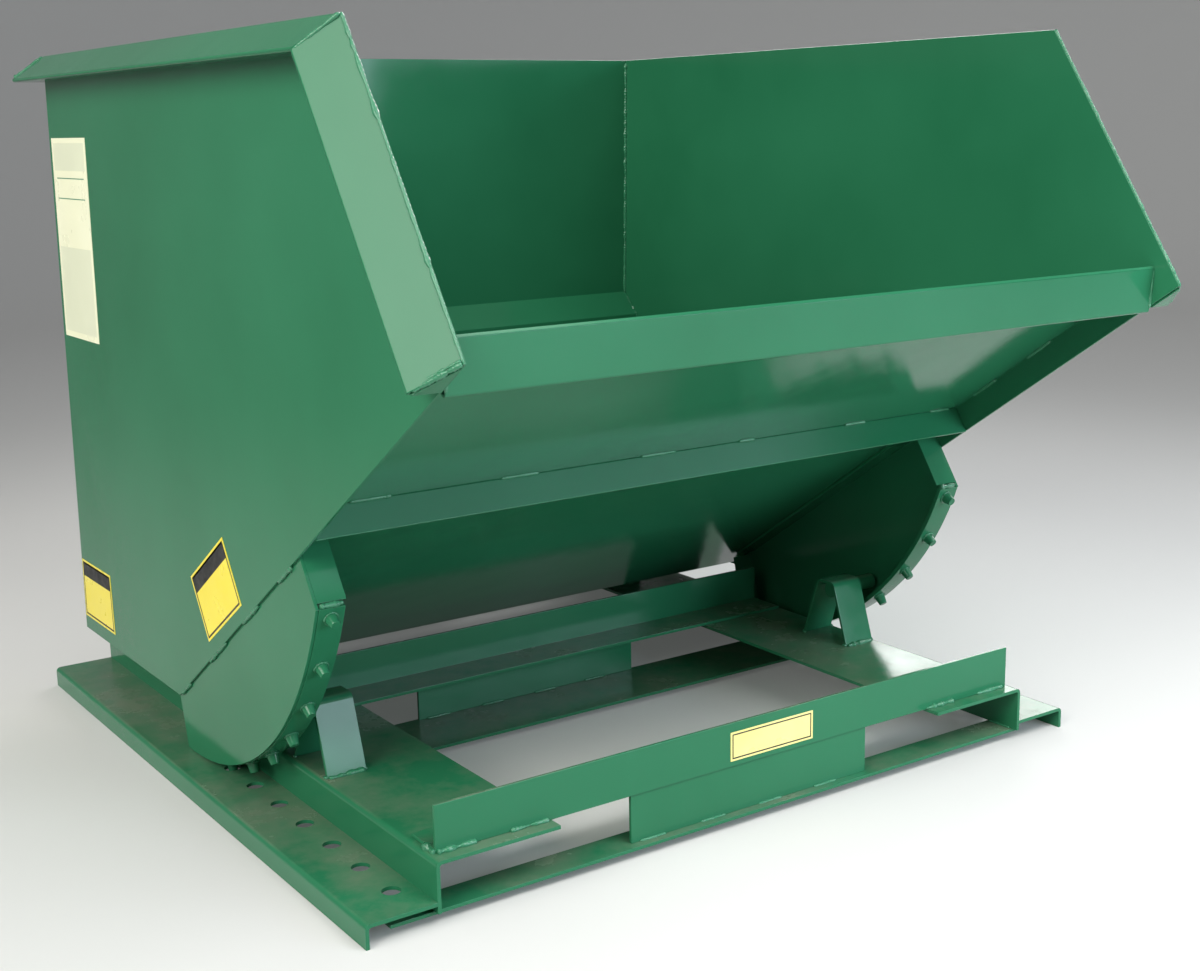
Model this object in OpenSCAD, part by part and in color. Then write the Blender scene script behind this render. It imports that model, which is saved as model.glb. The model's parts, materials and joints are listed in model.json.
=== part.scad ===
// Self-dumping rocker hopper: a V-front steel bin that rolls forward on two
// studded rockers over a fork-pocket base and locks down with a rear latch.
// Units mm. +Z up, +X right, -Y front (dumping side), +Y rear (truck side).
// Origin: centre of the overall footprint, on the floor.

/* [View] */
// node to build

/* [Bin] */
// outer width over the two side plates
bin_w = 1343; // [1335:1:1347]
// bin sheet thickness
sheet = 5; // [4:0.5:6]
// height of the top edge above the floor
top_z = 1258; // [1240:1:1280]
// outward reach of the folded rim
rim_out = 48; // [40:1:48]
// how far the top rim folds down
rim_drop = 46; // [40:1:50]
// how far the mouth rim folds back from the mouth edge
mouth_in = 70; // [60:1:78]
// thickness of the folded rims
rim_t = 4; // [3:0.5:5]
// how far the side plates stand below the slope sheet
skirt = 48; // [46:1:50]

/* [Rockers] */
// rolling radius
roll_r = 600; // [598:1:602]
// arc distance between studs, equal to the hole pitch
stud_pitch = 98; // [96:1:98]
// studs on each rocker
stud_count = 8; // [6:1:8]
// stud length
stud_h = 18; // [14:1:18]
// distance of the stud line from the middle
stud_x = 640; // [638:1:642]
// full roll angle used for the dumped position
roll_deg = 64; // [50:1:64]

/* [Base] */
// width over the outer lips
base_w = 1440; // [1430:2:1450]
// rail length
rail_len = 1406; // [1400:1:1420]
// deck height above the floor
deck_z = 100; // [98:1:101]
// track height above the floor
track_z = 38; // [37:0.5:39]
// rail plate thickness
plate = 6; // [5:0.5:6]
// drive hole radius in the tracks
hole_r = 14.5; // [13:0.5:16]

/* [Latch] */
// latch pivot pin radius
pivot_r = 9; // [7:0.5:10]
// release lever length, from the pivot
lever_len = 200; // [150:10:200]

/* [Hidden] */
$fn = 64;
ymid = 581;                       // rail front end sits at y = -ymid
hw = bin_w / 2;
hi = hw - sheet;
bw = base_w / 2;
zc = track_z + roll_r;            // rocker centre height
yc = 784;                         // rocker centre, from the rail fronts
hole_y0 = 75;
seam_a = atan2(706, 1056);        // fall of the side plates' lower edge
dn = [cos(seam_a), -sin(seam_a)]; // down the slope, (y, z)
up = [sin(seam_a), cos(seam_a)];  // square to the slope, into the bin
T = [34, top_z];
F = [-244, 841];
G = [812, 135];
B = [1332, 135];
R = [1295, top_z];
back = [-(B[0] - R[0]) / (R[1] - B[1]), 1];
S0 = F + skirt * up + 26 * dn;    // slope sheet, upper end of its underside
floor_z = 145;
S1 = [S0[0] + (S0[1] - floor_z) / tan(seam_a), floor_z];
lip_v = [8, -84];                 // lip's face, from its top edge down
mouth_a = atan2(T[1] - F[1], T[0] - F[0]);
mv = [sin(mouth_a), -cos(mouth_a)];
rim_y = (rim_drop == 0) ? 0 : T[0] + (mouth_in - rim_drop * cos(mouth_a)) / sin(mouth_a);
TC = [rim_y, top_z - rim_drop];
rim_r = roll_r - 0.3;
arc_f = 69.6;                     // front end of the rocker arc
arc_b = -1.5;                     // rear end
EF = [yc - rim_r * sin(arc_f), zc - rim_r * cos(arc_f)];
EB = [yc - rim_r * sin(arc_b), zc - rim_r * cos(arc_b)];
lift = (S0 - EF) * up;            // from the arc's front end to the slope sheet
EFT = EF + lift * up;
EBT = [836, floor_z + (S1[0] - 836) * tan(seam_a)];
rk_o = hi;                        // rocker plate laps inside the side plate
rk_i = hi - 5;
pin_y = 438;
pin_z = 199;
green = [0.13, 0.42, 0.30];
piv = [1352, 178];                // latch pivot
keep = [1312, 226];               // keeper bar
latch_open = 30;                  // swing from open (as drawn) to engaged
lean = 18;                        // lever's forward lean when engaged

// place things given from the rail fronts
module at() { translate([0, -ymid, 0]) children(); }

// a (y, z) outline as a slab from x0 to x1
module slab(pts, x0, x1) {
  translate([x0, 0, 0]) rotate([90, 0, 90]) linear_extrude(x1 - x0) polygon(pts);
}

function unit(v) = v / norm(v);
function left_of(v) = [-v[1], v[0]];
function seg_n(p, i) = left_of(unit(p[i + 1] - p[i]));
function miter(p, i, t) = (i == 0) ? p[0] + t * seg_n(p, 0)
  : (i == len(p) - 1) ? p[i] + t * seg_n(p, i - 1)
  : let (a = seg_n(p, i - 1), b = seg_n(p, i)) p[i] + t * (a + b) / (1 + a * b);
// a path thickened to its left by t
function band(p, t) = concat(p, [for (i = [len(p) - 1:-1:0]) miter(p, i, t)]);
// a corner rounded by an arc of n steps
function fil(a, c, b, r, n = 5) =
  let (u = unit(a - c), v = unit(b - c), h = acos(u * v) / 2,
       m = c + unit(u + v) * (r / sin(h)),
       p = c + u * (r / tan(h)), q = c + v * (r / tan(h)),
       a0 = atan2(p[1] - m[1], p[0] - m[0]), a1 = atan2(q[1] - m[1], q[0] - m[0]),
       d = ((a1 - a0) > 180) ? a1 - a0 - 360 : ((a1 - a0) < -180) ? a1 - a0 + 360 : a1 - a0)
  [for (i = [0:n]) m + r * [cos(a0 + d * i / n), sin(a0 + d * i / n)]];

// ---------- bin ----------
module side_plate() {
  difference() {
    slab([T, F, G, B, R], hi, hw);
    translate([hi - 1, yc, zc]) rotate([0, 90, 0]) cylinder(h = 3.6, r = 12.05);
  }
}
module side_plate_left() { color(green) at() mirror([1, 0, 0]) side_plate(); }
module side_plate_right() { color(green) at() side_plate(); }

module slope_sheet() {
  color(green) at() slab([S0, S1, S1 + sheet * [tan(seam_a / 2), 1], S0 + sheet * up], -hi, hi);
}
module floor_sheet() {
  s = sheet;
  k = 17 / 527;
  e = 1281 - s * sqrt(1 + k * k) - 0.03; // just clear of the back wall's inner face
  m = S1 + s * [tan(seam_a / 2), 1];
  color(green) at() slab([S1, [e, floor_z], [e - k * s, floor_z + s], m], -hi, hi);
}
module back_wall() {
  color(green) at() difference() {
    slab(band([[1281, floor_z], [1264, 672], [1312.7, 721], R], sheet), -hi, hi);
    slab([[1200, floor_z - 10], [1400, floor_z - 10], [1400, floor_z], [1200, floor_z]], -hi - 1, hi + 1);
  }
}
module front_lip() {
  a = S0;
  bb = S0 + lip_v;                  // sharp corner of the fold
  c = bb - ((bb - S0) * up) * up;
  t = rim_t;
  n1 = seg_n([a, bb], 0);
  ai = a + (t / (n1 * dn)) * dn;
  bi = bb + t * (n1 - dn) / (1 - n1 * dn);
  ci = c - t * dn;
  color(green) at() slab(concat([a], fil(a, bb, c, 5.5, 4), [c, ci], fil(ci, bi, ai, 1.5, 2), [ai]), -hi, hi);
}

// folded rim section as (out, along the plate from its edge) points; k leans
// the plate side for the back wall
function rim_pts(o, v, k = 0) = let (t = rim_t, s = norm([o, v]), q = t * s / o)
  concat([[0, 0]], fil([0, 0], [o, v], [0, v], 4, 4), [[k * v, v], [k * (v - t), v - t]],
    fil([0, v - t], [o - t * (s + o) / v, v - t], [0, q], 1.5, 2), [[k * q, q]]);
module top_rim() {
  intersection() {
    translate([hw, -100, top_z]) rotate([-90, 0, 0]) linear_extrude(1560) polygon(rim_pts(rim_out + 6, rim_drop));
    slab([T, TC, TC + 20 * (TC - T) / norm(TC - T), [1460, top_z - 70], [1460, top_z + 1], T + [0, 1]], hw - 1, hw + 60);
    translate([0, 0, top_z - 80]) linear_extrude(90)
      polygon([[hw - 1, -100], [hw + 60, -100], [hw + 60, R[0] + 60], [hw - 1, R[0] - 1]]);
  }
}
module top_rim_left() { color(green) at() mirror([1, 0, 0]) top_rim(); }
module top_rim_right() { color(green) at() top_rim(); }
module rear_rim() {
  color(green) at() intersection() {
    slab([for (p = rim_pts(rim_out + 6, rim_drop, (B[0] - R[0]) / (R[1] - B[1]))) [R[0] + 0.02 + p[0], top_z - p[1]]],
      -hw - 60, hw + 60);
    translate([0, 0, top_z - 80]) linear_extrude(90)
      polygon([[-hw, R[0]], [hw, R[0]], [hw + 60, R[0] + 60], [-hw - 60, R[0] + 60]]);
  }
}
module mouth_rim() {
  intersection() {
    translate([hw, F[0], F[1]]) rotate([mouth_a - 90, 0, 0]) linear_extrude(640) polygon(rim_pts(rim_out + 4, mouth_in));
    slab([F, T, TC, TC + 20 * (TC - T) / norm(TC - T), F + (mouth_in + 20) * mv], hw - 1, hw + 60);
  }
}
module mouth_rim_left() { color(green) at() mirror([1, 0, 0]) mouth_rim(); }
module mouth_rim_right() { color(green) at() mouth_rim(); }
module mouth_cap() {
  t = 3;
  o = rim_out - 3;
  v = mouth_in - 2;
  translate([hw, F[0], F[1]]) rotate([mouth_a - 90, 0, 0]) translate([0, 0, -t])
    linear_extrude(t) polygon([[0, 4], [o - 2, v - 1], [o - 5, v], [0, v]]);
}
module mouth_cap_left() { color(green) at() mirror([1, 0, 0]) mouth_cap(); }
module mouth_cap_right() { color(green) at() mouth_cap(); }

module slope_stiffener() {
  h = S0 + 516 * dn;
  t = 5;
  color(green) at() slab([h, h - 50 * up, h - 50 * up + t * dn, h - t * up + t * dn,
    h - t * up + 50 * dn, h + 50 * dn], -hi, hi);
}

// ---------- rockers ----------
module disc(r, x0, x1) {
  translate([x0, yc, zc]) rotate([0, 90, 0]) cylinder(h = x1 - x0, r = r, $fn = 180);
}
module rocker_plate() {
  e = unit(EBT - EB);
  intersection() {
    disc(rim_r - 1.2, rk_i, rk_o);
    slab([EF - 400 * up, EFT, EBT, EB - 300 * e], rk_i - 1, rk_o + 1);
  }
  slab([EFT, EBT, EBT - 0.5 * up - 40 * dn, EF], rk_i, rk_o);
}
module rocker_plate_left() { color(green) at() mirror([1, 0, 0]) rocker_plate(); }
module rocker_plate_right() { color(green) at() rocker_plate(); }
module rocker_flanges() {
  t = 5;
  e = unit(EBT - EB);
  g = [e[1], -e[0]];
  q = EB + 10 * e;
  // front end flange, rear end flange
  slab([EF + 10.3 * up, EFT - 0.2 * up, EFT - 0.2 * up + t * dn, EF + 10.3 * up + t * dn], 614, rk_i);
  slab([q, EBT - 5 * e, EBT - 5 * e - t * g, q - t * g], 614, rk_i);
  // top flange on the underside of the slope sheet
  slab([EFT - 0.2 * up + (t + 1) * dn, EBT - (t + 10) * dn - 0.2 * up,
    EBT - (t + 10) * dn - 5.2 * up, EFT - 5.2 * up + (t + 1) * dn], 614, rk_i);
}
module rocker_flanges_left() { color(green) at() mirror([1, 0, 0]) rocker_flanges(); }
module rocker_flanges_right() { color(green) at() rocker_flanges(); }
module rocker_rim() {
  intersection() {
    difference() {
      disc(rim_r, 618, rk_i - 0.3);
      disc(rim_r - 8, 610, rk_o + 10);
    }
    slab([[yc, zc], [yc - 900 * sin(arc_f), zc - 900 * cos(arc_f)], [-200, -300], [900, -300],
      [yc - 900 * sin(arc_b), zc - 900 * cos(arc_b)]], 600, 700);
  }
}
module rocker_rim_left() { color(green) at() mirror([1, 0, 0]) rocker_rim(); }
module rocker_rim_right() { color(green) at() rocker_rim(); }
module studs() {
  for (i = [0:stud_count - 1]) {
    a = (yc - hole_y0 - i * stud_pitch) / roll_r * 180 / PI;
    translate([stud_x, yc, zc]) rotate([-a, 0, 0]) translate([0, 0, -rim_r - stud_h])
      cylinder(h = stud_h + 2, r1 = 7.5, r2 = 11, $fn = 40);
  }
}
module studs_left() { color(green) at() mirror([1, 0, 0]) studs(); }
module studs_right() { color(green) at() studs(); }
module pilot_plugs() {
  color(green) at() for (s = [0, 1]) mirror([s, 0, 0]) translate([hi - 3, yc, zc]) rotate([0, 90, 0]) {
    cylinder(h = 5.2, r = 12);
    cylinder(h = 2.7, r = 17);
  }
}

// ---------- base ----------
module rail() {
  p = plate;
  w = 605;
  difference() {
    translate([0, rail_len, 0]) rotate([90, 0, 0]) linear_extrude(rail_len)
      polygon(concat([[394, deck_z]], fil([394, deck_z], [w, deck_z], [w, track_z], 9, 4),
        [[w, track_z]], fil([w, track_z], [bw, track_z], [bw, 0], 8, 4), [[bw, 0], [bw - p, 0]],
        fil([bw - p, 0], [bw - p, track_z - p], [w, track_z - p], 3, 2),
        [[w, track_z - p], [w, 20], [w - p, 20]],
        fil([w - p, 20], [w - p, deck_z - p], [394, deck_z - p], 3, 2), [[394, deck_z - p]]));
    for (i = [0:stud_count - 1]) translate([stud_x, hole_y0 + i * stud_pitch, track_z - 20])
      cylinder(h = 40, r = hole_r);
  }
}
module base_rail_left() { color(green) at() mirror([1, 0, 0]) rail(); }
module base_rail_right() { color(green) at() rail(); }

// angle bar lying across the rails; leg goes up at y0, the foot runs to y1
module cross_angle(y0, y1, x) {
  s = sign(y1 - y0);
  t = 6;
  h = 74;
  z = deck_z;
  slab([[y0, z], [y0, z + h], [y0 + s * t, z + h], [y0 + s * t, z + t], [y1, z + t], [y1, z]], -x, x);
}
module front_cross_angle() { color(green) at() cross_angle(24.6, 98.6, 592); }
module mid_cross_angle() { color(green) at() cross_angle(741, 655, 612 - 20); }
module rear_cross_angle() { color(green) at() cross_angle(1400, 1322, 592); }
module strap(y0, y1, x0, x1) { translate([x0, y0, 14]) cube([x1 - x0, y1 - y0, 6]); }
module front_strap() { color(green) at() strap(12, 70, -675, 618); }
module mid_strap() { color(green) at() strap(573, 723, -605, 605); }
module rear_strap() { color(green) at() strap(1330, 1390, -605, 605); }
module centre_plate(y) { translate([-247, y, 20]) cube([494, 6, deck_z - 20]); }
module front_centre_plate() { color(green) at() centre_plate(27); }
module mid_centre_plate() { color(green) at() centre_plate(714); }
module rear_centre_plate() { color(green) at() centre_plate(1372); }

saddle_path = concat([[371, 94]], fil([371, 94], [413, 221], [461, 221], 14, 4),
  fil([413, 221], [461, 221], [503, 94], 14, 4), [[503, 94]]);
module saddle() {
  intersection() {
    slab(band([for (i = [len(saddle_path) - 1:-1:0]) saddle_path[i]], 6), 525, 595);
    translate([500, 300, deck_z]) cube([120, 300, 200]);
  }
}
module saddle_left() { color(green) at() mirror([1, 0, 0]) saddle(); }
module saddle_right() { color(green) at() saddle(); }
module hold_pin() {
  translate([540, pin_y, pin_z]) rotate([0, 90, 0]) cylinder(h = 108, r = 15.95);
}
module hold_down_pin_left() { color(green) at() mirror([1, 0, 0]) hold_pin(); }
module hold_down_pin_right() { color(green) at() hold_pin(); }

module rest_pads() {
  z = deck_z;
  h = floor_z - z - 0.3;
  color(green) at() for (s = [0, 1]) mirror([s, 0, 0])
    slab([[1140, z], [1140, z + h], [1196, z + h], [1196, z], [1190, z], [1190, z + h - 6],
      [1146, z + h - 6], [1146, z]], 430, 580);
}

// ---------- latch ----------
module tube_x(p, r, x0, x1) { translate([x0, p[0], p[1]]) rotate([0, 90, 0]) cylinder(h = x1 - x0, r = r); }
module latch_bracket() {
  z = deck_z + 6;
  color(green) at() for (s = [0, 1]) mirror([s, 0, 0]) difference() {
    union() {
      slab([[1326, z], [1394, z], [1394, 168], [piv[0] + 18, piv[1]], [piv[0] - 18, piv[1]], [1330, 140]], 10, 18);
      tube_x(piv, 18, 10, 18);
    }
    tube_x(piv, pivot_r + 0.05, 5, 25);
  }
}
module latch_pin() {
  color([0.5, 0.5, 0.52]) at() {
    difference() {
      tube_x(piv, pivot_r, -22, 30);
      translate([26, piv[0], piv[1] - 20]) cylinder(h = 40, r = 2.05);
    }
    tube_x(piv, pivot_r + 5, -28, -22);
    translate([26, piv[0], piv[1] - 15]) cylinder(h = 30, r = 2);
  }
}
// a point at radius r, a degrees forward of upright, about the latch pivot
function lp(r, a) = piv + r * [-sin(a), cos(a)];
// turns a piece from the engaged position to the open one
module swung() { translate([0, piv[0], piv[1]]) rotate([-latch_open, 0, 0]) translate([0, -piv[0], -piv[1]]) children(); }
module latch_hook() {
  x = 8;
  // arm behind the keeper bar, finger over it
  color([0.18, 0.19, 0.2]) at() swung() difference() {
    union() {
      tube_x(piv, 19, -x, x);
      slab([piv + [19, 0], lp(60, -16), lp(84, -10), lp(91, lean - 8), lp(92, lean + 8), lp(91, 42), lp(88, 54),
        lp(75, 56), lp(74, 45), lp(74, 36), lp(74, 27), lp(40, 27), piv + [-19, 0]], -x, x);
    }
    tube_x(piv, pivot_r + 0.05, -x - 1, x + 1);
  }
}
function lever_pts() = let (a = lp(91, lean - 8), b = lp(92, lean + 8), n = [cos(lean), sin(lean)], e = lp(lever_len, lean))
  [a + 0.19 * (b - a), e + 8 * n, e - 8 * n, a + 0.81 * (b - a)];
module release_lever() {
  color([0.18, 0.19, 0.2]) at() swung() slab(lever_pts(), -6, 6);
}
module lever_grip() {
  n = [cos(lean), sin(lean)];
  color([0.06, 0.06, 0.06]) at() swung() difference() {
    slab([lp(lever_len - 80, lean) + 10 * n, lp(lever_len + 5, lean) + 10 * n,
      lp(lever_len + 5, lean) - 10 * n, lp(lever_len - 80, lean) - 10 * n], -10, 10);
    slab(lever_pts(), -6, 6);
  }
}
module latch_keeper() {
  yw = 1281;
  color(green) at() {
    for (s = [0, 1]) mirror([s, 0, 0]) difference() {
      slab([[yw - 1.45, 190], [yw - 3.77, 262], [1304, 262], [1326, 240], [1326, 212], [1304, 190]], 24, 32);
      tube_x(keep, 10, 20, 40);
    }
    tube_x(keep, 10, -36, 36);
  }
}

// ---------- labels (blank) ----------
module data_label() {
  color([0.86, 0.84, 0.72]) at() mirror([1, 0, 0])
    slab([[1286, 1108], [1089, 1108], [1100, 735], [1297, 735]], hw, hw + 0.6);
}
module side_labels() {
  color([0.9, 0.8, 0.3]) at() mirror([1, 0, 0]) {
    slab([[1322, 281], [1154, 281], [1150, 163], [1326, 163]], hw, hw + 0.6);
    translate([0, 558, 475]) rotate([-32.8, 0, 0]) translate([hw, 0, -119]) cube([0.6, 184, 119]);
  }
}
module front_label() {
  color([0.9, 0.85, 0.6]) at() translate([-51, 24, 109]) cube([175, 0.6, 49]);
}

side_plate_left();
side_plate_right();
slope_sheet();
floor_sheet();
back_wall();
front_lip();
top_rim_left();
top_rim_right();
rear_rim();
mouth_rim_left();
mouth_rim_right();
mouth_cap_left();
mouth_cap_right();
slope_stiffener();
rocker_plate_left();
rocker_plate_right();
rocker_flanges_left();
rocker_flanges_right();
rocker_rim_left();
rocker_rim_right();
studs_left();
studs_right();
pilot_plugs();
base_rail_left();
base_rail_right();
front_cross_angle();
front_strap();
front_centre_plate();
mid_cross_angle();
mid_strap();
mid_centre_plate();
rear_cross_angle();
rear_strap();
rear_centre_plate();
saddle_left();
saddle_right();
hold_down_pin_left();
hold_down_pin_right();
rest_pads();
latch_bracket();
latch_pin();
latch_hook();
release_lever();
lever_grip();
latch_keeper();
data_label();
side_labels();
front_label();
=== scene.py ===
import json
import math
import random

import bmesh
import bpy
from mathutils import Matrix, Vector

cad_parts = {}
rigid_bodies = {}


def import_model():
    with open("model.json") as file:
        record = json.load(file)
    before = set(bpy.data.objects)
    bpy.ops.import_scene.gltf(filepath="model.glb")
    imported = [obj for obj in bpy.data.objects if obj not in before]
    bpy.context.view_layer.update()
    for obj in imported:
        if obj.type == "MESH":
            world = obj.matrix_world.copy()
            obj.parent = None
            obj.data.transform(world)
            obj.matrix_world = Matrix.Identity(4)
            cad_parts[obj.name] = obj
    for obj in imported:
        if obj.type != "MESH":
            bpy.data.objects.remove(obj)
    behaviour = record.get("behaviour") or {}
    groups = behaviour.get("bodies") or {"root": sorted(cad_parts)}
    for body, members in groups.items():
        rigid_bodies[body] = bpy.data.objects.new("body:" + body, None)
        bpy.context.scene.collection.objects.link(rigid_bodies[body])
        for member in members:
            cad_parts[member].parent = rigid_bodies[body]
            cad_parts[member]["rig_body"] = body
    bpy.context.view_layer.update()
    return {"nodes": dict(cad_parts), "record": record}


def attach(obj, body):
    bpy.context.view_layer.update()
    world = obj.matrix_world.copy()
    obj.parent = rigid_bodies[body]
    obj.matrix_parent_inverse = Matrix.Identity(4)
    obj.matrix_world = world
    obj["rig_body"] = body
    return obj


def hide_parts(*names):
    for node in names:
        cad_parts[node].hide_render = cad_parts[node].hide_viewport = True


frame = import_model()
NODES = frame["nodes"]
BODY = {n: o["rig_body"] for n, o in NODES.items()}
SLOT = {s["node"]: s["material_slot"] for s in frame["record"]["subparts"]}
YMID = 581.0


def P(x, y, z):
    """a point given in mm from the rail fronts, in the frame's metres"""
    return Vector((x / 1000, (y - YMID) / 1000, z / 1000))


# ---------------------------------------------------------------- materials
def new_mat(name):
    m = bpy.data.materials.new(name)
    m.use_nodes = True
    t = m.node_tree
    b = t.nodes["Principled BSDF"]
    return m, t, b


def noise(t, vec, scale, detail=2.0, rough=0.5):
    n = t.nodes.new("ShaderNodeTexNoise")
    n.inputs["Scale"].default_value = scale
    n.inputs["Detail"].default_value = detail
    n.inputs["Roughness"].default_value = rough
    t.links.new(vec, n.inputs["Vector"])
    return n.outputs["Fac"]


def ramp(t, fac, a, b, lo=0.0, hi=1.0):
    r = t.nodes.new("ShaderNodeMapRange")
    r.inputs["From Min"].default_value = a
    r.inputs["From Max"].default_value = b
    r.inputs["To Min"].default_value = lo
    r.inputs["To Max"].default_value = hi
    t.links.new(fac, r.inputs["Value"])
    return r.outputs["Result"]


def mix(t, fac, ca, cb):
    m = t.nodes.new("ShaderNodeMix")
    m.data_type = "RGBA"
    t.links.new(fac, m.inputs["Factor"])
    for i, c in (("A", ca), ("B", cb)):
        s = [x for x in m.inputs if x.name == i and x.type == "RGBA"][0]
        if isinstance(c, (tuple, list)):
            s.default_value = (*c, 1)
        else:
            t.links.new(c, s)
    return [x for x in m.outputs if x.type == "RGBA"][0]


def mathn(t, op, a, b):
    m = t.nodes.new("ShaderNodeMath")
    m.operation = op
    for i, v in enumerate((a, b)):
        if isinstance(v, (int, float)):
            m.inputs[i].default_value = v
        else:
            t.links.new(v, m.inputs[i])
    return m.outputs[0]


def bump(t, height, strength, distance, prev=None):
    n = t.nodes.new("ShaderNodeBump")
    n.inputs["Strength"].default_value = strength
    n.inputs["Distance"].default_value = distance
    t.links.new(height, n.inputs["Height"])
    if prev is not None:
        t.links.new(prev, n.inputs["Normal"])
    return n.outputs["Normal"]


def paint(name, base, dark, light, rough=0.2, dust=0.0, peel=0.10, wave=0.35, coat=0.04, lumps=0.0):
    """sprayed gloss enamel over steel sheet: tone drift, orange peel, slow waves, dust on what faces up"""
    m, t, b = new_mat(name)
    tc = t.nodes.new("ShaderNodeTexCoord")
    o = tc.outputs["Object"]
    tone = noise(t, o, 2.4, 3.0)
    col = mix(t, ramp(t, tone, 0.3, 0.7), dark, light)
    col = mix(t, ramp(t, noise(t, o, 19.0, 4.0, 0.6), 0.35, 0.75, 0.0, 0.35), col, base)
    # fine scuffs and specks where the film is thin
    speck = ramp(t, noise(t, o, 260.0, 6.0, 0.72), 0.70, 0.80)
    col = mix(t, mathn(t, "MULTIPLY", speck, 0.20), col, (0.16, 0.30, 0.24))
    r = ramp(t, noise(t, o, 34.0, 5.0, 0.6), 0.25, 0.75, rough * 0.75, rough * 1.35)
    if dust > 0:
        sep = t.nodes.new("ShaderNodeSeparateXYZ")
        t.links.new(tc.outputs["Normal"], sep.inputs[0])
        up = ramp(t, sep.outputs["Z"], 0.75, 0.98)
        patch = ramp(t, noise(t, o, 6.5, 6.0, 0.62), 0.36, 0.72)
        d = mathn(t, "MULTIPLY", mathn(t, "MULTIPLY", up, patch), dust)
        col = mix(t, d, col, (0.19, 0.18, 0.14))
        r = mathn(t, "ADD", r, mathn(t, "MULTIPLY", d, 0.28))
    t.links.new(col, b.inputs["Base Color"])
    t.links.new(r, b.inputs["Roughness"])
    n = bump(t, noise(t, o, 5.0, 2.0), wave, 0.0035)
    n = bump(t, noise(t, o, 620.0, 2.0), peel, 0.0006, n)
    if lumps > 0:
        n = bump(t, noise(t, o, 300.0, 4.0, 0.7), lumps, 0.0015, n)
    t.links.new(n, b.inputs["Normal"])
    b.inputs["Coat Weight"].default_value = coat
    b.inputs["Coat Roughness"].default_value = 0.06
    b.inputs["IOR"].default_value = 1.45
    b.inputs["Specular IOR Level"].default_value = 0.27
    return m


def simple(name, ca, cb, rough, metallic=0.0, scale=120.0, peel=0.15, coat=0.0):
    m, t, b = new_mat(name)
    o = t.nodes.new("ShaderNodeTexCoord").outputs["Object"]
    t.links.new(mix(t, ramp(t, noise(t, o, scale * 0.2, 4.0), 0.35, 0.7), ca, cb), b.inputs["Base Color"])
    t.links.new(ramp(t, noise(t, o, scale, 4.0), 0.3, 0.7, rough * 0.8, rough * 1.25), b.inputs["Roughness"])
    t.links.new(bump(t, noise(t, o, scale * 5, 2.0), peel, 0.0005), b.inputs["Normal"])
    b.inputs["Metallic"].default_value = metallic
    b.inputs["Coat Weight"].default_value = coat
    return m


G = (0.019, 0.145, 0.067)
GD = (0.016, 0.131, 0.059)
GL = (0.023, 0.159, 0.076)
# a lighter copy of the green for the weld beads: painted sheen, so the beads read as catching the light
GW_PAINTED_SHEEN = (0.040, 0.200, 0.105)
M = {
    "green": paint("green_enamel", G, GD, GL, rough=0.11),
    "green_base": paint("green_enamel_base", G, GD, GL, rough=0.14, dust=0.62),
    # weld paint runs from the light green to the lighter weld green: painted highlight on the beads, on top of the real
    # lumps
    "green_weld_painted_sheen": paint("green_weld_painted_sheen", GW_PAINTED_SHEEN, GL, GW_PAINTED_SHEEN, rough=0.10, wave=0.0, peel=0.25, lumps=0.8, coat=0.6),
    "black": simple("black_enamel", (0.012, 0.012, 0.013), (0.03, 0.03, 0.03), 0.32, coat=0.3),
    "zinc": simple("zinc_plate", (0.55, 0.56, 0.58), (0.68, 0.68, 0.66), 0.3, 1.0),
    "rubber": simple("grip_rubber", (0.012, 0.012, 0.012), (0.028, 0.027, 0.026), 0.7, peel=0.5),
    "yellow": simple("label_yellow", (0.80, 0.66, 0.022), (0.84, 0.71, 0.034), 0.3, scale=22, peel=0.02, coat=0.3),
    "pale_yellow": simple("label_pale_yellow", (0.72, 0.62, 0.18), (0.80, 0.71, 0.28), 0.3, scale=22, peel=0.02, coat=0.3),
    "cream": simple("label_cream", (0.86, 0.87, 0.62), (0.90, 0.91, 0.68), 0.3, scale=22, peel=0.02, coat=0.3),
    "ink": simple("label_ink", (0.006, 0.006, 0.006), (0.014, 0.014, 0.014), 0.5, scale=60, peel=0.05),
    "ink_soft": simple("label_ink_soft", (0.70, 0.73, 0.54), (0.76, 0.79, 0.59), 0.35, scale=22, peel=0.02, coat=0.3),
    "ink_green": simple("label_ink_green", (0.05, 0.22, 0.12), (0.07, 0.27, 0.15), 0.35, scale=60, peel=0.05, coat=0.3),
}
BASE_PIECES = {"base"}


# ---------------------------------------------------------------- CAD skins
def finish_mesh(bm, name, mat, body, angle=36.0):
    me = bpy.data.meshes.new(name)
    bmesh.ops.recalc_face_normals(bm, faces=bm.faces)
    for f in bm.faces:
        f.smooth = True
    for e in bm.edges:
        e.smooth = not (len(e.link_faces) == 2 and e.calc_face_angle(0.0) > math.radians(angle))
    bm.to_mesh(me)
    bm.free()
    o = bpy.data.objects.new(name, me)
    bpy.context.scene.collection.objects.link(o)
    for x in mat if isinstance(mat, (list, tuple)) else [mat]:
        me.materials.append(x)
    w = o.modifiers.new("face_weighted", "WEIGHTED_NORMAL")
    w.keep_sharp = True
    w.weight = 90
    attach(o, body)
    return o


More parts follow.
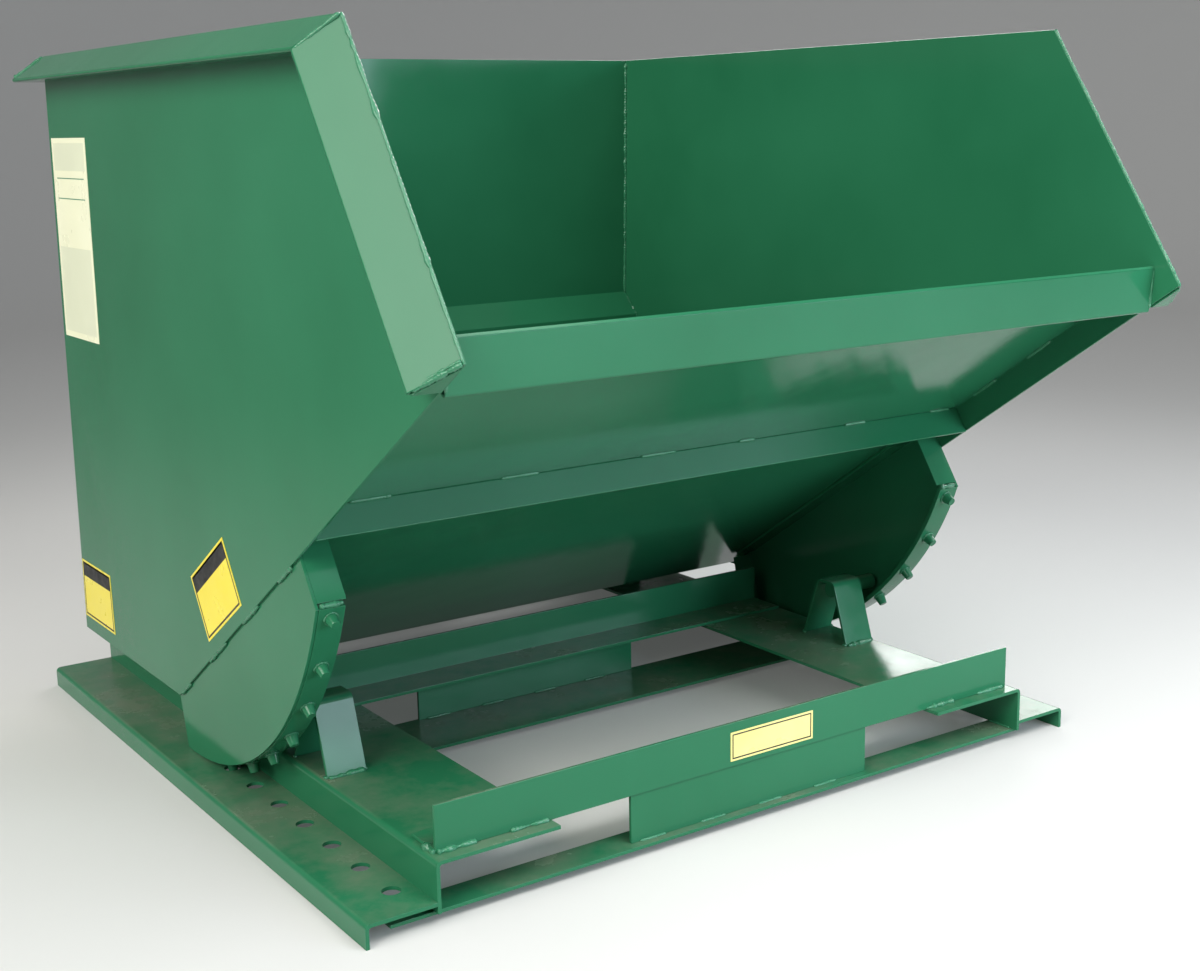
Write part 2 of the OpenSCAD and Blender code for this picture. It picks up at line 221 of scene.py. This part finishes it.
def bevelled(node, width, mat, segments=2):
    """the CAD solid's own mesh, welded, its flat faces merged and its sharp edges eased"""
    bm = bmesh.new()
    bm.from_mesh(NODES[node].data)
    bmesh.ops.remove_doubles(bm, verts=bm.verts, dist=2e-6)
    bmesh.ops.dissolve_limit(bm, angle_limit=math.radians(0.6), verts=bm.verts, edges=bm.edges)
    bmesh.ops.recalc_face_normals(bm, faces=bm.faces)
    sharp = [e for e in bm.edges if len(e.link_faces) == 2 and e.calc_face_angle(0.0) > math.radians(32)]
    bmesh.ops.bevel(bm, geom=sharp, offset=width, segments=segments, affect="EDGES", profile=0.5, clamp_overlap=True)
    bmesh.ops.remove_doubles(bm, verts=bm.verts, dist=1e-6)
    bmesh.ops.dissolve_degenerate(bm, dist=1e-7, edges=bm.edges)
    o = finish_mesh(bm, "skin_" + node, mat, BODY[node])
    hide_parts(node)
    return o


WIDTH = {"studs_left": 0.0012, "studs_right": 0.0012, "latch_pin": 0.0008, "release_lever": 0.001, "lever_grip": 0.002,
         "front_cross_angle": 0.0012, "side_plate_left": 0.0009, "side_plate_right": 0.0009, "pilot_plugs": 0.0006,
         "mouth_rim_left": 0.0019, "mouth_rim_right": 0.0019, "top_rim_left": 0.0019, "top_rim_right": 0.0019,
         "rear_rim": 0.0016, "front_lip": 0.0014, "slope_stiffener": 0.0014, "rocker_plate_left": 0.0013,
         "rocker_plate_right": 0.0013, "rocker_rim_left": 0.0014, "rocker_rim_right": 0.0014,
         "saddle_left": 0.0013, "saddle_right": 0.0013, "base_rail_left": 0.0012, "base_rail_right": 0.0012}
LABELS = {"data_label", "side_labels", "front_label"}
for node in sorted(NODES):
    if node in LABELS:
        continue
    s = SLOT[node]
    mat = {"latch_black": "black", "zinc": "zinc", "grip_rubber": "rubber"}.get(s) or (
        "green_base" if BODY[node] in BASE_PIECES else "green")
    bevelled(node, WIDTH.get(node, 0.0008), M[mat])


# ---------------------------------------------------------------- weld beads
class Beads:
    """lumpy beads along polylines, gathered into one mesh"""

    def __init__(self, name, body, seed):
        self.bm, self.name, self.body, self.rnd = bmesh.new(), name, body, random.Random(seed)

    def add(self, pts, r=0.0035, ripple=0.0052, closed=False, jitter=0.16):
        pts = [Vector(p) for p in pts]
        if closed:
            pts = pts + [pts[0]]
        step = ripple / 3.0
        line, d = [], 0.0
        for a, b in zip(pts, pts[1:]):
            n = max(1, int((b - a).length / step))
            line += [a.lerp(b, i / n) for i in range(n)]
        line.append(pts[-1])
        if closed:
            line.pop()
        count, rings, prev = len(line), [], None
        ph = self.rnd.random() * 6.28
        lump = [self.rnd.gauss(0, 1) for _ in range(count // 4 + 3)]
        for i, p in enumerate(line):
            nxt, last = line[(i + 1) % count], line[i - 1]
            if not closed:
                nxt, last = line[min(i + 1, count - 1)], line[max(i - 1, 0)]
            t = (nxt - last).normalized()
            ref = Vector((0, 0, 1)) if abs(t.z) < 0.8 else Vector((1, 0, 0))
            u = t.cross(ref).normalized()
            v = t.cross(u)
            k, f = divmod(i, 4)
            soft = lump[k] * (1 - f / 4) + lump[k + 1] * f / 4
            rr = r * (1 + 0.13 * math.sin(i * 2.094 + ph) + jitter * 0.5 * soft)
            if not closed:
                end = min(i, count - 1 - i)
                rr *= (0.55, 0.85, 1.0)[min(end, 2)]
            wob = u * (r * 0.10 * soft)
            rings.append([self.bm.verts.new(p + wob + (u * math.cos(a) + v * math.sin(a)) * rr)
                          for a in (j * math.pi / 4 for j in range(8))])
            d += step
        pairs = list(zip(rings, rings[1:])) + ([(rings[-1], rings[0])] if closed else [])
        for a, b in pairs:
            for j in range(8):
                self.bm.faces.new((a[j], a[(j + 1) % 8], b[(j + 1) % 8], b[j]))
        if not closed:
            self.bm.faces.new(rings[0][::-1])
            self.bm.faces.new(rings[-1])

    def stitches(self, a, b, spans, **k):
        a, b = Vector(a), Vector(b)
        u = (b - a).normalized()
        for s, e in spans:
            self.add([a + u * s, a + u * e], **k)

    def done(self):
        # the beads take the lighter weld paint, a painted sheen
        return finish_mesh(self.bm, self.name, M["green_weld_painted_sheen"], self.body, angle=80)


HW, HI = 671.5, 666.5
SA = math.atan2(706, 1056)
DN, UP = (math.cos(SA), -math.sin(SA)), (math.sin(SA), math.cos(SA))
F, T, R, B = (-244, 841), (34, 1258), (1295, 1258), (1332, 135)
FLOOR = 145


def along(p, s, u=DN):
    return (p[0] + s * u[0], p[1] + s * u[1])


S0 = along(along(F, 48, UP), 26)
S1 = (S0[0] + (S0[1] - FLOOR) / math.tan(SA), FLOOR)
slope_len = math.dist(S0, S1)
mouth_a = math.atan2(T[1] - F[1], T[0] - F[0])
MV = (math.sin(mouth_a), -math.cos(mouth_a))

bin_welds = Beads("welds_bin", "bin", 11)
for sx in (-1, 1):
    # along the mouth, where the folded rim meets the plate's edge
    bin_welds.add([P(sx * (HW - 1), *F), P(sx * (HW - 1), *T)], r=0.0026, ripple=0.0075, jitter=0.5)
    # mitre between the top rim and the mouth rim
    rim_y = T[0] + (70 - 46 * math.cos(mouth_a)) / math.sin(mouth_a)
    bin_welds.add([P(sx * (HW + 1), T[0], T[1] - 1), P(sx * (HW + 45), rim_y - 4, T[1] - 44)], r=0.0032, jitter=0.5)
    # rear corner mitre
    bin_welds.add([P(sx * (HW + 1), R[0] + 1, R[1] - 1), P(sx * (HW + 43), R[0] + 43, R[1] - 38)], r=0.0036, jitter=0.7)
    # mouth rim's lower end, two passes round the cap
    e0, e1 = (F[0], F[1]), along(F, 66, MV)
    for off, r in ((1.0, 0.0032), (5.5, 0.0026)):
        q0, q1 = along(e0, off, (math.cos(mouth_a), math.sin(mouth_a))), along(e1, off, (math.cos(mouth_a), math.sin(mouth_a)))
        bin_welds.add([P(sx * (HW + 1), *q0), P(sx * (HW + 41), *along(q0, 62, MV))], r=r, jitter=0.5)
    # inner upright corner and the foot of the back wall
    bin_welds.add([P(sx * (HI - 1.5), 1277, 155), P(sx * (HI - 1.5), 1260.5, 672), P(sx * (HI - 1.5), 1306.5, 719),
                   P(sx * (HI - 1.5), 1289, 1252)], r=0.0034, ripple=0.006, jitter=0.6)
    # slope sheet to side plate, inside
    u = along(S0, 10)
    bin_welds.stitches(P(sx * (HI - 1.5), *along(u, 6, UP)), P(sx * (HI - 1.5), *along(along(S0, slope_len), 6, UP)),
                       [(a / 1000, (a + 80) / 1000) for a in range(20, int(slope_len) - 100, 180)], r=0.0032)
    # slope sheet to side plate, underneath
    bin_welds.stitches(P(sx * (HI - 1.5), *along(S0, 70)), P(sx * (HI - 1.5), *S1),
                       [(a / 1000, (a + 65) / 1000) for a in range(30, 520, 150)], r=0.0032)
    # rocker plate lapped inside the side plate: stitches along the plate's lower edge
    a, b = along(F, 0, DN), along(F, 1270, DN)
    bin_welds.stitches(P(sx * 668.2, *along(a, -0.6, UP)), P(sx * 668.2, *along(b, -0.6, UP)),
                       [(.649, .711), (.814, .895), (.989, 1.085), (1.206, 1.262)], r=0.0034, jitter=0.4)
    # lip ends
    bin_welds.add([P(sx * (HI - 1), S0[0] + 2, S0[1] - 2), P(sx * (HI - 1), S0[0] + 7, S0[1] - 66)], r=0.0028)
    # label-side foot of the back wall
    bin_welds.add([P(sx * (HI + 0.5), 1281.5, 150), P(sx * (HI + 0.5), 1266, 650)], r=0.0024)
# stiffener bar on the slope's underside
h = along(S0, 516)
top_spans = [(-.60, -.53), (-.34, -.27), (-.07, .00), (.136, .171), (.38, .43), (.596, .645)]
for x0, x1 in top_spans:
    bin_welds.add([P(x0 * 1000, *along(h, -1.5, DN)), P(x1 * 1000, *along(h, -1.5, DN))], r=0.003)
    e = along(h, 51.0, DN)
    bin_welds.add([P(x0 * 1000 + 60, *e), P(min(x1 * 1000 + 60, 660), *e)], r=0.0026)
# lip flange on the slope's underside
for x0 in range(-620, 600, 210):
    e = along(S0, 54.0, DN)
    bin_welds.add([P(x0, *e), P(x0 + 60, *e)], r=0.0026)

# rocker welds: rim to plate, flange ends, stud rings
YC, ZC, RR = 784, 638, 599.7
for sx in (-1, 1):
    for a0, a1 in ((4, 10), (19, 26), (35, 42), (51, 58), (63, 68.5)):
        arc = [math.radians(a0 + (a1 - a0) * i / 10) for i in range(11)]
        bin_welds.add([P(sx * 661.0, YC - (RR - 8.5) * math.sin(a), ZC - (RR - 8.5) * math.cos(a)) for a in arc], r=0.0034)
    a = math.radians(69.6)
    ef = (YC - RR * math.sin(a), ZC - RR * math.cos(a))
    q = along(ef, 5, UP)
    bin_welds.add([P(sx * 659, *q), P(sx * 620, *q)], r=0.0042, ripple=0.006, jitter=0.9)
    for i in range(8):
        a = (YC - 75 - i * 98) / 600
        d = Vector((0, -math.sin(a), -math.cos(a)))
        c = P(sx * 640, YC, ZC) + d * (RR / 1000 + 0.0006)
        u, v = Vector((1, 0, 0)), d.cross(Vector((1, 0, 0)))
        ring = [c + (u * math.cos(k * math.pi / 12) + v * math.sin(k * math.pi / 12)) * 0.0112 for k in range(24)]
        bin_welds.add(ring, r=0.0017, ripple=0.004, closed=True, jitter=0.5)
bin_welds.done()

base_welds = Beads("welds_base", "base", 23)
DECK = 100
for x0, x1 in ((-590, -523), (-467, -399), (391, 457), (516, 583)):
    base_welds.add([P(x0, 24.4, DECK + 1.6), P(x1, 24.4, DECK + 1.6)], r=0.0042, ripple=0.0065, jitter=0.9)
for x0 in (-585, -470, 405, 520):
    base_welds.add([P(x0, 99.4, DECK + 1), P(x0 + 60, 99.4, DECK + 1)], r=0.0032)
    base_welds.add([P(x0, 741.4, DECK + 1), P(x0 + 60, 741.4, DECK + 1)], r=0.0032)
    base_welds.add([P(x0, 1321.2, DECK + 1), P(x0 + 60, 1321.2, DECK + 1)], r=0.0032)
base_welds.add([P(-592.6, 26, DECK + 1), P(-592.6, 60, DECK + 1)], r=0.0046, jitter=1.0)
for sx in (-1, 1):
    for y, zz in ((371.5, DECK + 1), (502.5, DECK + 1)):
        base_welds.add([P(sx * 528, y, zz), P(sx * 592, y, zz)], r=0.0042, jitter=0.6)
    for x in (524.3, 595.7):
        base_welds.add([P(sx * x, 374, DECK + 1), P(sx * x, 384, DECK + 1)], r=0.003)
        base_welds.add([P(sx * x, 491, DECK + 1), P(sx * x, 501, DECK + 1)], r=0.003)
    ring = [P(sx * 596, 438 + 17 * math.cos(k * math.pi / 14), 199 + 17 * math.sin(k * math.pi / 14)) for k in range(28)]
    base_welds.add(ring, r=0.0024, closed=True, jitter=0.6)
    # straps to the rails' lower edges
    for y0, y1 in ((16, 66), (580, 716), (1334, 1386)):
        base_welds.add([P(sx * 598.2, y0, 20.6), P(sx * 598.2, y1, 20.6)], r=0.0026)
for y in (26.6, 713.6, 1371.6):
    for x0 in range(-230, 200, 120):
        base_welds.add([P(x0, y, 20.6), P(x0 + 50, y, 20.6)], r=0.0026)
for sx in (-1, 1):
    for y0, y1 in ((1328, 1392),):
        base_welds.add([P(sx * 18.6, y0, DECK + 7), P(sx * 18.6, y1, DECK + 7)], r=0.0026)
base_welds.done()


# ---------------------------------------------------------------- labels, blank
def label(name, node, corners, out, cells, ground):
    """a thin plate with printed areas standing a hair proud; corners run from lower left round; cells are (u0, v0, u1, v1, material)"""
    bm = bmesh.new()
    mats = [M[ground]]
    c00, c10, c11, c01 = corners

    def at(u, v, w):
        p = c00.lerp(c10, u).lerp(c01.lerp(c11, u), v)
        return p + out * w

    def block(u0, v0, u1, v1, w0, w1, idx):
        vs = [bm.verts.new(at(u, v, w)) for w in (w0, w1) for u, v in ((u0, v0), (u1, v0), (u1, v1), (u0, v1))]
        for f in ((0, 1, 2, 3), (4, 5, 6, 7), (0, 1, 5, 4), (1, 2, 6, 5), (2, 3, 7, 6), (3, 0, 4, 7)):
            bm.faces.new([vs[i] for i in f]).material_index = idx

    block(0, 0, 1, 1, 0.00005, 0.0006, 0)
    for u0, v0, u1, v1, m in cells:
        if M[m] not in mats:
            mats.append(M[m])
        block(u0, v0, u1, v1, 0.00055, 0.00072, mats.index(M[m]))
    o = finish_mesh(bm, name, mats, BODY[node])
    return o


def border(t_u, t_v, m, inset_u=0.03, inset_v=0.03):
    a, b, c, d = inset_u, inset_v, 1 - inset_u, 1 - inset_v
    return [(a, b, c, b + t_v, m), (a, d - t_v, c, d, m), (a, b + t_v, a + t_u, d - t_v, m), (c - t_u, b + t_v, c, d - t_v, m)]


LEFT = Vector((-1, 0, 0))
data = label("label_data", "data_label",
             [P(-HW, 1297, 735), P(-HW, 1100, 735), P(-HW, 1089, 1108), P(-HW, 1286, 1108)], LEFT,
             [(.05, .84, .95, .975, "ink_soft"), (.10, .70, .90, .705, "ink_green"), (.10, .80, .90, .805, "ink_green"),
              (.05, .03, .95, .46, "ink_soft")], "cream")
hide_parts("data_label")
ya = math.radians(-32.8)


def tilt(u, v):
    """corner of the label that lies along the seam"""
    return P(-HW, 558 + u * math.cos(ya) - v * math.sin(ya), 475 + u * math.sin(ya) + v * math.cos(ya))


yel = [(.04, .72, .96, .965, "ink")]
seam = label("label_seam", "side_labels", [tilt(184, -119), tilt(0, -119), tilt(0, 0), tilt(184, 0)], LEFT,
             border(.018, .028, "ink", .025, .035) + yel, "yellow")
rear = label("label_rear", "side_labels", [P(-HW, 1326, 163), P(-HW, 1150, 163), P(-HW, 1154, 281), P(-HW, 1322, 281)], LEFT,
             border(.018, .028, "ink", .025, .035) + yel, "yellow")
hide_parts("side_labels")
front = label("label_front", "front_label", [P(-51, 24.6, 109), P(124, 24.6, 109), P(124, 24.6, 158), P(-51, 24.6, 158)],
              Vector((0, -1, 0)), border(.012, .045, "ink", .02, .07), "pale_yellow")
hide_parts("front_label")


# ---------------------------------------------------------------- stage
def stage_mat(name, c, rough=0.9):
    m, t, b = new_mat(name)
    b.inputs["Base Color"].default_value = (*c, 1)
    b.inputs["Roughness"].default_value = rough
    b.inputs["Specular IOR Level"].default_value = 0.1
    b.inputs["Emission Color"].default_value = (1, 1, 1, 1)
    b.inputs["Emission Strength"].default_value = 0.07
    return m


def cyclorama():
    """a round pale floor that sweeps up into a wall, so no horizon shows"""
    prof = [(0.0, 0.0), (3.0, 0.0), (7.5, 0.0)]
    prof += [(7.5 + 3.5 * math.sin(a), 3.5 - 3.5 * math.cos(a)) for a in (math.radians(9 * i) for i in range(1, 11))]
    prof += [(11.0, 7.0)]
    bm = bmesh.new()
    n = 64
    c = bm.verts.new((0, 0, 0))
    rings = [[bm.verts.new((r * math.cos(2 * math.pi * i / n), r * math.sin(2 * math.pi * i / n), z)) for i in range(n)]
             for r, z in prof[1:]]
    for i in range(n):
        bm.faces.new((c, rings[0][i], rings[0][(i + 1) % n]))
    for a, b in zip(rings, rings[1:]):
        for i in range(n):
            bm.faces.new((a[i], b[i], b[(i + 1) % n], a[(i + 1) % n]))
    for f in bm.faces:
        f.smooth = True
    me = bpy.data.meshes.new("studio_floor")
    bm.to_mesh(me)
    bm.free()
    o = bpy.data.objects.new("studio_floor", me)
    bpy.context.scene.collection.objects.link(o)
    me.materials.append(stage_mat("studio_pale", (0.53, 0.53, 0.52)))


cyclorama()


def area(name, loc, target, size, energy, colour=(1, 1, 1), spread=180):
    l = bpy.data.lights.new(name, "AREA")
    l.shape, l.size, l.size_y, l.energy, l.color = "RECTANGLE", size[0], size[1], energy, colour
    l.spread = math.radians(spread)
    o = bpy.data.objects.new(name, l)
    bpy.context.scene.collection.objects.link(o)
    o.location = loc
    o.rotation_euler = (Vector(target) - Vector(loc)).to_track_quat("-Z", "Y").to_euler()
    return o


area("key_left", (-4.2, -1.3, 3.2), (-0.4, -0.1, 0.8), (3.8, 3.2), 76, (1.0, 0.985, 0.93), 80)
area("key_front", (2.3, -4.7, 1.5), (0, 0, 0.4), (3.0, 1.8), 168, (0.72, 0.85, 1.0))
area("floor_front", (0.6, -3.6, 4.2), (0.4, -3.0, 0), (3.6, 3.0), 125, (1, 1, 1), 100)
area("overhead", (0.2, 0.1, 5.2), (0.2, 0, 0), (4.0, 4.0), 54)
area("rear_fill", (3.9, 3.7, 2.7), (0.5, 0.6, 0.9), (3.0, 2.4), 16, (1, 1, 1), 60)
area("right_fill", (5.2, 0.2, 2.8), (0.6, 0, 0.9), (2.4, 2.0), 14, (1, 1, 1), 60)

world = bpy.data.worlds.new("studio")
bpy.context.scene.world = world
world.use_nodes = True
world.node_tree.nodes["Background"].inputs[0].default_value = (1.0, 1.0, 1.0, 1)
world.node_tree.nodes["Background"].inputs[1].default_value = 0.26
bpy.context.scene.view_settings.view_transform = "Standard"

# ---------------------------------------------------------------- camera
yaw, pitch, roll = math.radians(34.42), math.radians(-12.3), math.radians(-1.07)
f = Vector((math.sin(yaw) * math.cos(pitch), math.cos(yaw) * math.cos(pitch), math.sin(pitch)))
r = Vector((math.cos(yaw), -math.sin(yaw), 0))
u = r.cross(f)
r2 = r * math.cos(roll) + u * math.sin(roll)
u2 = u * math.cos(roll) - r * math.sin(roll)
cam_data = bpy.data.cameras.new("camera")
cam_data.sensor_width, cam_data.lens = 36.0, 49.62
cam_data.clip_start, cam_data.clip_end = 0.05, 60
cam = bpy.data.objects.new("camera", cam_data)
bpy.context.scene.collection.objects.link(cam)
m = Matrix((r2, u2, -f)).transposed().to_4x4()
m.translation = Vector((-1.6327, -2.5078, 1.1138))
cam.matrix_world = m
bpy.context.scene.camera = cam
